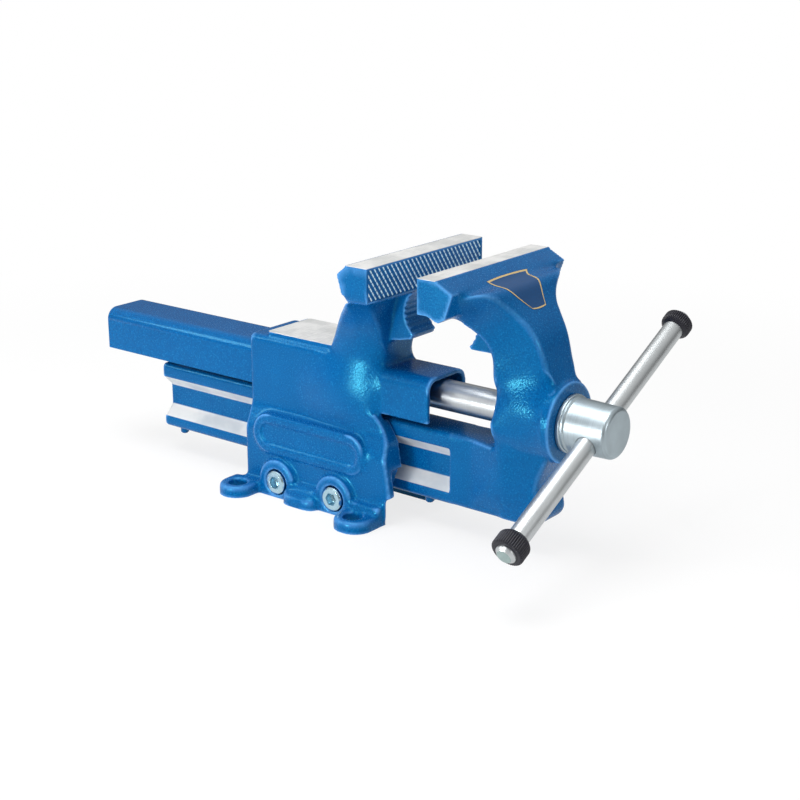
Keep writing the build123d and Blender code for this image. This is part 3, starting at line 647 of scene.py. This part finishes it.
def relax(mesh, free, firm, planes, blends, swells):
    """Rounds a skin. A vertex close to a ground plane (axis, value, where) is put on it and stays. Then,
    SKIN_PASSES times, each vertex moves half way to the mean of its neighbours, times its freedom. Each
    blend (middle, reach, passes) does so again near its middle, on both sides, fading out with distance,
    but not where firm holds. Each swell (middle, reach, height) moves the points at distance d of its
    middle, in reaches, away from the middle plane by height * (1 - d^2)^2."""
    points = coordinates(mesh)
    edges = edge_ends(mesh)
    mean = neighbours(edges, len(points))
    share = 0.5 * free(points)[:, None]
    for _ in range(SHARE_PASSES):
        share = 0.5 * share + 0.5 * mean(share)
    held = firm(points)
    ground = np.zeros(len(points), bool)
    for axis, value, where in planes:
        close = where(points) & (abs(points[:, axis] - value) < GROUND_REACH)
        points[close, axis] = value
        ground |= close
    share[ground] = 0.0
    for _ in range(SKIN_PASSES):
        points += share * (mean(points) - points)
    for middle, reach, passes in blends:
        near = np.clip(BLEND_SLOPE * (1 - reaches(points, middle, reach)), 0, 1)
        near[ground | held] = 0.0
        blend_near(points, edges, near, passes)
    for middle, reach, height in swells:
        push = height * MM * np.clip(1 - reaches(points, middle, reach) ** 2, 0, 1) ** 2
        points[:, 1] += np.sign(points[:, 1]) * push
    put_points(mesh, points)


def sink_face(mesh, face_x, way):
    """Moves the middle of a jaw face back, so that the serrated piece stands in a shallow pocket."""
    points = coordinates(mesh)
    inside = abs(points[:, 0] - face_x) < 0.2 * MM
    inside &= abs(points[:, 1]) < jaw_half - POCKET_MARGIN
    inside &= abs(points[:, 2] - face_mid_z) < face_half_height - POCKET_MARGIN
    points[inside, 0] -= way * POCKET_DEPTH
    put_points(mesh, points)


def mark_edge_highlights(mesh, low=0.03, high=0.14):
    """Attribute edge, 0 to 1, that the paint uses for a painted highlight along convex edges: how far each vertex
    stands out, along its normal, from the mean of its neighbours, over the square of their distance, in 1/mm
    between low and high, and smoothed twice."""
    points = coordinates(mesh)
    normals = np.empty(len(points) * 3, np.float32)
    mesh.vertices.foreach_get("normal", normals)
    edges = edge_ends(mesh)
    mean = neighbours(edges, len(points))
    square = np.sum((points[edges[:, 0]] - points[edges[:, 1]]) ** 2, axis=1)
    total = np.bincount(edges[:, 0], square, len(points)) + np.bincount(edges[:, 1], square, len(points))
    count = np.bincount(edges.ravel(), minlength=len(points))
    stand = np.sum((points - mean(points)) * normals.reshape(-1, 3), axis=1)
    curve = stand / np.maximum(total / np.maximum(count, 1), 1e-12) * MM
    curve = np.clip(curve, -high, 2 * high)[:, None]
    for _ in range(2):
        curve = 0.4 * curve + 0.6 * mean(curve)
    edge = np.clip((curve[:, 0] - low) / (high - low), 0, 1)
    mesh.attributes.new("edge", "FLOAT", "POINT").data.foreach_set("value", edge.astype(np.float32))


def cast_skin(node, name, body, material, face, **shape):
    """A casting over its solid: an even skin, rounded as shape says and thinned where it is flat, with the
    middle of its face (face_x, way) sunk, in place of the plain node."""
    piece = link(merged_copy(node, name), name)
    remesh = piece.modifiers.new("Skin", "REMESH")
    remesh.mode = "VOXEL"
    remesh.voxel_size = SKIN_VOXEL
    relax(evaluated(piece), **shape)
    sink_face(piece.data, *face)
    thin = piece.modifiers.new("Thin", "DECIMATE")
    thin.ratio = min(1.0, SKIN_FACES / (2 * len(piece.data.polygons)))
    mesh = evaluated(piece)
    shade_smooth(mesh, sharp=50)
    # Attribute for the painted highlight along convex edges
    mark_edge_highlights(mesh)
    mesh.materials.clear()
    mesh.materials.append(material)
    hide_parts(node)
    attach(piece, body)
    return piece


def make_fixed_casting():
    """Fixed body: rough casting with a ground jaw face, land, anvil pad and feet."""
    top, pad_x, pad_z = jaw_top / MM, anvil_x / MM, anvil_z / MM
    land = ((fixed_face_x - LAND_FIXED, -1, jaw_top - LAND_EDGE), (fixed_face_x + MM, 1, jaw_top + MM))
    pad = (
        (anvil_x - ANVIL_HALF_X, -ANVIL_HALF_Y, anvil_z - ANVIL_EDGE),
        (anvil_x + ANVIL_HALF_X, ANVIL_HALF_Y, anvil_z + MM),
    )
    stiffness = [
        (zone(z=(top - 25, 1000)), 0.22),  # bar of the jaw
        (zone(x=(54.5, 1000), y=(-1, 21.5), z=(70, 102.5)), 0.25),  # nose of the tunnel
        (zone(x=(55, 78), y=(-1, 13), z=(120, 156)), 0.12),  # pipe jaw
        (zone(x=(-1000, 74), y=(-1, 15.5), z=(-1000, 72)), 0.05),  # guide of the rail
        (zone(x=(-1000, -20), y=(-1, 21), z=(71, 102)), 0.05),  # seat of the rear cover
        (tube(16, x=(-1000, 54)), 0.05),  # bore of the spindle
        (zone(y=(31.2, 33), z=(27, 59)), 0.3),  # rim of the plaque
        (zone(x=(pad_x - 32, pad_x + 28), y=(-1, 23), z=(pad_z - 1, 200)), 0.1),  # anvil pad
        (screw_seat(-23, 11, 10.5, -20), 0.2),
        (screw_seat(27, 11, 10.5, -20), 0.2),
    ]
    ends = zone(z=(top - 19, 1000))
    cast_skin(
        "fixed_body",
        "fixed_casting",
        "base",
        hammered_paint("hammered_blue_fixed", [land, pad]),
        face=(fixed_face_x, 1),
        free=freedom(stiffness),
        firm=zone(x=(56, 120), y=(-1, 21.5), z=(70, 102.5)),
        planes=[
            (0, fixed_face_x, zone(z=(top - 22.3, 1000))),
            (2, jaw_top, zone(z=(top - 24.5, 1000))),
            (1, jaw_half, ends),
            (1, -jaw_half, ends),
            (2, anvil_z, zone(x=(pad_x - 31, pad_x + 31), y=(-1, 22), z=(pad_z - 2, pad_z + 2))),
            (2, 0.0, zone(z=(-1000, 2))),
        ],
        blends=[
            ((40, 24, 96), (28, 15, 28), 900),  # root of the column
            ((2, 37, 9), (17, 9, 9), 45),  # pad between the screw bosses
            ((55, 30, 40), (8, 8, 30), 40),  # front edge of the body
            ((67, 58, 153), (16, 10, 10), 80),  # lower ends of the bar
        ],
        swells=[((25, 24, 80), (42, 10, 30), 4.2)],  # side of the column's root
    )


def make_moving_casting():
    """Movable jaw: bar, arm, neck and rail in one, with a ground face, a land and bare strips on the rail."""
    top, face = jaw_top / MM, moving_face_x / MM
    land = ((moving_face_x - MM, -1, jaw_top - LAND_EDGE), (moving_face_x + LAND_MOVING, 1, jaw_top + MM))
    middle_z = rail_bottom + RAIL_HEIGHT / 2 - STRIP_DROP
    strips = []
    for side in (-1, 1):
        middle_y = side * STRIP_MIDDLE_Y
        low = (rail_rear_x - MM, middle_y - STRIP_HALF_Y, middle_z - STRIP_HALF_Z)
        strips.append((low, (STRIP_END_X, middle_y + STRIP_HALF_Y, middle_z + STRIP_HALF_Z)))
    stiffness = [
        (zone(x=(-1000, face + 27), z=(top - 25, 1000)), 0.22),  # bar of the jaw
        (zone(x=(face, face + 16), y=(-1, 13), z=(120, 156)), 0.12),  # pipe jaw
        (zone(x=(-1000, 108), z=(-1000, 70)), 0.1),  # rail
        (zone(x=(130, 1000), z=(100, top - 25)), 0.3),  # arm
        (tube(27, x=(178, 1000)), 0.3),  # boss of the neck
        (tube(19.5, x=(140, 1000)), 0.1),  # seat of the bush and the head
    ]
    bar = zone(z=(top - 24.5, 1000))
    return cast_skin(
        "movable_jaw",
        "moving_casting",
        "sliding_jaw",
        hammered_paint("hammered_blue_moving", [land], strips),
        face=(moving_face_x, -1),
        free=freedom(stiffness),
        firm=tube(27, x=(179.5, 1000)),
        planes=[
            (0, moving_face_x, zone(z=(top - 22.3, 1000))),
            (2, jaw_top, bar),
            (1, jaw_half, bar),
            (1, -jaw_half, bar),
        ],
        blends=[
            ((128, 40, 153), (12, 14, 8), 60),  # underside of the bar
            ((169, 23, 97), (28, 17, 28), 900),  # neck
            ((150, 20, 48), (12, 10, 34), 150),  # step from the rail to the neck
            ((139, 0, 170), (18, 55, 15), 220),  # shoulder between the bar and the arm
        ],
        swells=[((162, 24, 101), (24, 16, 15), 1.0)],  # side of the neck
    )


def make_serration(name, face_x, way, body):
    """Diamond serration on a jaw face: the surface lies depth * (1 - min(a, b)) behind the face, where a is
    1.4 * w(y + slope * z) - 0.36 and b is 0.40 + 1.2 * w(y - slope * z), both kept between 0 and 1, and w is
    a triangle wave from 0 to 1; its rim goes back into the jaw."""
    width = jaw_half - SERRATION_MARGIN
    height = face_half_height - SERRATION_MARGIN
    across = np.linspace(-width, width, int(2 * width / SERRATION_STEP))
    rise = np.linspace(-height, height, int(2 * height / SERRATION_STEP))
    y, z = np.meshgrid(across, rise, indexing="ij")
    slope = 1 / SERRATION_SLOPE

    def wave(value):
        return abs(2 * ((value / SERRATION_PITCH) % 1) - 1)

    deep = np.clip(1.4 * wave(y + slope * z) - 0.36, 0, 1)
    shallow = np.clip(0.40 + 1.2 * wave(y - slope * z), 0, 1)
    sunk = SERRATION_DEPTH * (1 - np.minimum(deep, shallow))
    rim = np.minimum(width - abs(y), height - abs(z)) < SERRATION_STEP / 2
    sunk[rim] = 1.3 * SERRATION_DEPTH
    points = np.stack([face_x - way * sunk, y, z + face_mid_z], axis=-1)
    mesh = cleaned(closed(surface(name, points)), sharp=25)
    rider(mesh, name, body, serrated_steel(name + "_steel", face_x), "bright_steel")


# Spindle and its washer

def thread_swell(along, angle, radius):
    """Trapezoid thread: the radius drops by up to the thread's depth with the distance of s / lead - t / 2pi
    from the nearest half turn. The crest takes THREAD_CREST of the lead, THREAD_FLANK is how steep the drop
    beside it is, and the thread runs out towards both ends."""
    phase = ((along + spindle_rear_x) / THREAD_LEAD - angle / (2 * pi)) % 1
    valley = np.clip(THREAD_FLANK * (abs(2 * phase - 1) - THREAD_CREST), 0, 1)
    fade = np.clip((THREAD_END_X - (along + spindle_rear_x)) / THREAD_FADE, 0, 1)
    fade *= np.clip((along - 1.5 * MM) / THREAD_FADE, 0, 1)
    return radius - THREAD_DEPTH * valley * fade


def make_spindle(material):
    """Spindle with a chamfered rear end, a thread as far as THREAD_END_X and a smooth shank."""
    head_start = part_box("spindle_head")[0].x - spindle_rear_x
    threaded = np.arange(2.0 * MM, THREAD_END_X - spindle_rear_x + 1 * MM, THREAD_STEP)
    tail = [(0.0, 0.0), (0.0, SPINDLE_RADIUS - SPINDLE_CHAMFER), (1.9 * MM, SPINDLE_RADIUS)]
    thread = np.column_stack([threaded, np.full(len(threaded), SPINDLE_RADIUS)])
    shank = [(head_start - 0.1 * MM, SPINDLE_RADIUS), (head_start, 0.0)]
    profile = np.vstack([tail, thread, shank])
    origin = (spindle_rear_x, 0, spindle_z)
    mesh = turned("threaded_spindle", origin, (1, 0, 0), profile, segments=64, swell=thread_swell)
    rider(mesh, "threaded_spindle", "spindle", material, "bright_steel", "spindle")


def make_washer(material):
    """Thrust washer with rounded rims."""
    low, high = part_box("thrust_washer")
    thick, radius = high.x - low.x, (high.z - low.z) / 2
    corners = [(0, SPINDLE_RADIUS), (0, radius), (thick, radius), (thick, SPINDLE_RADIUS)]
    profile = looped(rounded(corners, WASHER_ROUND))
    mesh = turned("bright_washer", (low.x, 0, spindle_z), (1, 0, 0), profile, segments=96)
    rider(mesh, "bright_washer", "spindle", material, "bright_steel", "thrust_washer")


# Handle bar with its rubber rings

def half_bar():
    """Half of the bar's length, from the width of its box."""
    low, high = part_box("handle_bar")
    return ((high.y - low.y) / 2 - (HANDLE_RADIUS - HANDLE_CHAMFER) * handle_way.z) / handle_way.y


def make_handle_bar(half):
    """Round bar with chamfered ends, whose end faces are cut steel."""
    profile = rounded(
        [
            (-half, 0.0),
            (-half, HANDLE_RADIUS - HANDLE_CHAMFER),
            (-half + HANDLE_CHAMFER, HANDLE_RADIUS),
            (half - HANDLE_CHAMFER, HANDLE_RADIUS),
            (half, HANDLE_RADIUS - HANDLE_CHAMFER),
            (half, 0.0),
        ],
        0.25 * MM,
    )
    turn = (-atan2(handle_way.z, handle_way.y), 0.0, -pi / 2)
    drawn = turned_steel("drawn_bar_steel", BAR_STEEL, 0.40, contrast=0.05, fineness=260.0, turn=turn)
    cut = plain_metal("bar_end_steel", TIP_STEEL, 0.35, metal=0.85, scale=350.0, detail=4.0, coarse=0.6)
    mesh = turned("round_bar", handle_middle, handle_way, profile, segments=64)
    mesh.materials.append(drawn)
    mesh.materials.append(cut)
    centres = np.empty(len(mesh.polygons) * 3, np.float32)
    mesh.polygons.foreach_get("center", centres)
    along = abs((centres.reshape(-1, 3) - np.array(handle_middle)) @ np.array(handle_way))
    mesh.polygons.foreach_set("material_index", (along > half - 0.1 * MM).astype(np.int32))
    round_bar = link(mesh, "round_bar")
    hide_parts("handle_bar")
    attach(round_bar, "handle")


def rib_swell(_, angle, radius):
    """Lengthwise ribs: the radius varies by a rounded wave round the ring, fading at its inner round."""
    wave = np.sqrt(abs(np.cos(RING_RIBS * angle / 2)))
    outer = np.clip((radius - HANDLE_RADIUS - 1.2 * MM) / (1.5 * MM), 0, 1)
    return radius - RING_RIB_DEPTH * (1 - wave) * outer


def make_ring(name, side, end, length, radius, material):
    """Ribbed rubber ring on the bar, from end back by length, with a wide chamfer on its inner side."""
    start = end - length
    grip = HANDLE_RADIUS - RING_GRIP
    corners = [
        (start, grip),
        (start, radius - RING_CHAMFER),
        (start + RING_CHAMFER, radius),
        (end - RING_EDGE, radius),
        (end, radius - RING_EDGE),
        (end, grip),
    ]
    round_profile = rounded(corners, 1.2 * MM)
    steps = np.linspace(start + RING_CHAMFER + 0.8 * MM, end - RING_EDGE - 0.8 * MM, 6)
    before = round_profile[round_profile[:, 0] < steps[0]]
    after = round_profile[round_profile[:, 0] > steps[-1]]
    profile = looped(np.vstack([before, np.column_stack([steps, np.full(6, radius)]), after]))
    mesh = turned(f"{name}_ring", handle_middle, side * handle_way, profile, 6 * RING_RIBS, rib_swell)
    rider(mesh, f"{name}_ring", "handle", material, "black_rubber", f"handle_ring_{name}")


# Label on the outer face of the arm: a plain blue field with a thin gold line

def make_label(casting):
    """Trapezoid with rounded corners: for u and v from -1 to 1, rise is v * sqrt(1 - u^2 / 8), z is the
    middle plus half the height times rise, and y is the middle(rise) plus the half width(rise) times
    u * sqrt(1 - v^2 / 8), plus the corner's reach times u * rise^3 towards the corner where both are over 0.
    Middle and half width change evenly with rise. The sheet is laid on the casting along X and thickened."""
    inner, outer = LABEL_LINE
    share = np.concatenate([[-1.0, -outer], np.linspace(-inner, inner, 31), [outer, 1.0]])
    u, v = np.meshgrid(share, share, indexing="ij")
    rise = v * np.sqrt(1 - u**2 / 8)
    y = LABEL_MIDDLE_Y + LABEL_LEAN * rise
    y += u * np.sqrt(1 - v**2 / 8) * (LABEL_HALF_Y + LABEL_FLARE * rise)
    y += LABEL_CORNER * np.clip(u, 0, 1) * np.clip(rise, 0, 1) ** 3
    points = np.stack([np.full_like(y, 0.2), y, LABEL_MIDDLE_Z + LABEL_HALF_Z * rise], axis=-1)
    mesh = surface("arm_label", points)
    mesh.materials.append(label_print("label_field", LABEL_BLUE))
    mesh.materials.append(label_print("label_line", LABEL_GOLD))
    middles = abs(share[1:] + share[:-1]) / 2
    rim = np.maximum(*np.meshgrid(middles, middles, indexing="ij")).ravel()
    mesh.polygons.foreach_set("material_index", ((rim > inner) & (rim < outer)).astype(np.int32))
    piece = link(mesh, "arm_label")
    lay = piece.modifiers.new("Lay", "SHRINKWRAP")
    lay.target = casting
    lay.wrap_method = "PROJECT"
    lay.use_project_x = True
    lay.use_negative_direction = True
    lay.use_positive_direction = False
    lay.offset = 0.2 * MM
    thick = piece.modifiers.new("Thickness", "SOLIDIFY")
    thick.thickness = 0.15 * MM
    thick.offset = 0.0
    cleaned(evaluated(piece), sharp=50)
    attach(piece, "sliding_jaw")


# Stage, camera and light

def make_floor():
    """Pale floor with a faint soft shadow: white by itself to the camera, apart from a lit share that
    fades out with the distance from the vise; reflections see it greyer."""
    size = 6.0
    grid = np.array([[(-size, -size, 0.0), (-size, size, 0.0)], [(size, -size, 0.0), (size, size, 0.0)]])
    mesh = surface("pale_floor", grid)
    if mesh.polygons[0].normal.z < 0:
        mesh.flip_normals()
    material = bpy.data.materials.new("pale_floor")
    material.use_nodes = True
    floor = Nodes(material.node_tree)
    apart = floor.add("ShaderNodeVectorMath", {"operation": "LENGTH"})
    floor.put(apart, 0, floor.add("ShaderNodeTexCoord").outputs["Object"])
    far = floor.ramp(apart.outputs["Value"], 0.25, 0.75)
    path = floor.add("ShaderNodeLightPath").outputs
    mirrored = floor.math("MAXIMUM", path["Is Glossy Ray"], path["Is Transmission Ray"])
    seen = floor.math("MAXIMUM", path["Is Camera Ray"], mirrored)
    share = floor.math("MULTIPLY", seen, floor.between(far, 0.78, 1.0))
    glow = floor.add("ShaderNodeEmission", Strength=floor.between(mirrored, 1.0, 0.7)).outputs[0]
    lit = floor.add("ShaderNodeBsdfDiffuse", Color=(0.92, 0.92, 0.92, 1.0)).outputs[0]
    floor.add("ShaderNodeOutputMaterial", Surface=floor.choose(share, lit, glow))
    mesh.materials.append(material)
    link(mesh, "pale_floor")


def make_world():
    """White to the camera; grey above and dark near the horizon to glossy rays; dimmer white to others."""
    world = bpy.data.worlds.new("studio")
    bpy.context.scene.world = world
    world.use_nodes = True
    sky = Nodes(world.node_tree)
    height = sky.parts(sky.add("ShaderNodeTexCoord").outputs["Generated"])[2]
    level = sky.between(sky.ramp(height, -0.02, 0.80), 0.06, 0.62)
    plain = sky.add("ShaderNodeBackground", Color=WHITE, Strength=0.46).outputs[0]
    glossy = sky.add("ShaderNodeBackground", Color=WHITE, Strength=level).outputs[0]
    white = sky.add("ShaderNodeBackground", Color=WHITE, Strength=1.0).outputs[0]
    path = sky.add("ShaderNodeLightPath").outputs
    seen = sky.math("MAXIMUM", path["Is Camera Ray"], path["Is Transmission Ray"])
    light = sky.choose(path["Is Glossy Ray"], plain, glossy)
    sky.add("ShaderNodeOutputWorld", Surface=sky.choose(seen, light, white))


def aim(name, data, place, target):
    """Object for a lamp or a camera at place that looks at target."""
    holder = bpy.data.objects.new(name, data)
    holder.location = place
    holder.rotation_euler = (Vector(target) - Vector(place)).to_track_quat("-Z", "Y").to_euler()
    bpy.context.scene.collection.objects.link(holder)
    return holder


def make_lamp(name, place, size, power):
    """Square white area lamp that looks at the middle of the vise."""
    lamp = bpy.data.lights.new(name, "AREA")
    lamp.size = size
    lamp.energy = power
    aim(name, lamp, place, LAMP_TARGET)


def make_camera():
    """Camera at the photograph's place and angle."""
    camera = bpy.data.cameras.new("camera")
    camera.lens = CAMERA_LENS
    camera.sensor_width = CAMERA_SENSOR
    bpy.context.scene.camera = aim("camera", camera, CAMERA_PLACE, CAMERA_TARGET)


# The vise, piece by piece

make_fixed_casting()
moving_casting = make_moving_casting()
make_serration("fixed_jaw_serration", fixed_face_x, 1, "base")
make_serration("moving_jaw_serration", moving_face_x, -1, "sliding_jaw")

cover_paint = hammered_paint("hammered_blue_cover")
edged_copy("spindle_cover", "rear_cover", "base", cover_paint, 0.8 * MM)
make_spindle(turned_steel("bright_turned_steel", SPINDLE_STEEL, 0.32))
head_steel = turned_steel("zinc_turned_steel", HEAD_ZINC, 0.40, contrast=0.16)
edged_copy("spindle_head", "turned_head", "spindle", head_steel, 0.5 * MM, sharp=25)
make_washer(head_steel)

bar_half = half_bar()
rubber = ribbed_rubber("ribbed_black_rubber")
make_handle_bar(bar_half)
make_ring("far", 1, end=bar_half - 4 * MM, length=9 * MM, radius=9.5 * MM, material=rubber)
make_ring("near", -1, end=bar_half - 3 * MM, length=12 * MM, radius=10.25 * MM, material=rubber)

zinc = plain_metal("zinc_plated_steel", SCREW_ZINC, 0.18)
pin_steel = plain_metal("plain_steel", PIN_STEEL, 0.3)
bronze = plain_metal("cast_bronze", BRONZE, 0.3)
edged_copy("clamp_screws", "socket_screws", "base", zinc, 0.25 * MM, sharp=28)
dressed_node("stop_pins", hammered_paint("hammered_blue_pins"))
for node in ("cover_screws", "nut_screw"):
    dressed_node(node, zinc)
for node in ("head_pin", "spindle_collar", "collar_pin"):
    dressed_node(node, pin_steel)
for node in ("spindle_nut", "spindle_bush"):
    dressed_node(node, bronze)

make_label(moving_casting)

make_floor()
make_world()
make_lamp("top_softbox", (-0.05, -0.2, 1.1), size=0.7, power=8.4)
make_lamp("left_softbox", (-0.89, -0.68, 0.55), size=0.2, power=2.2)
make_lamp("low_softbox", (-0.09, -0.68, 0.12), size=0.12, power=2.2)
make_lamp("rim_softbox", (1.02, -0.18, 0.38), size=0.12, power=1.2)
make_camera()

bpy.context.scene.view_settings.view_transform = "Standard"
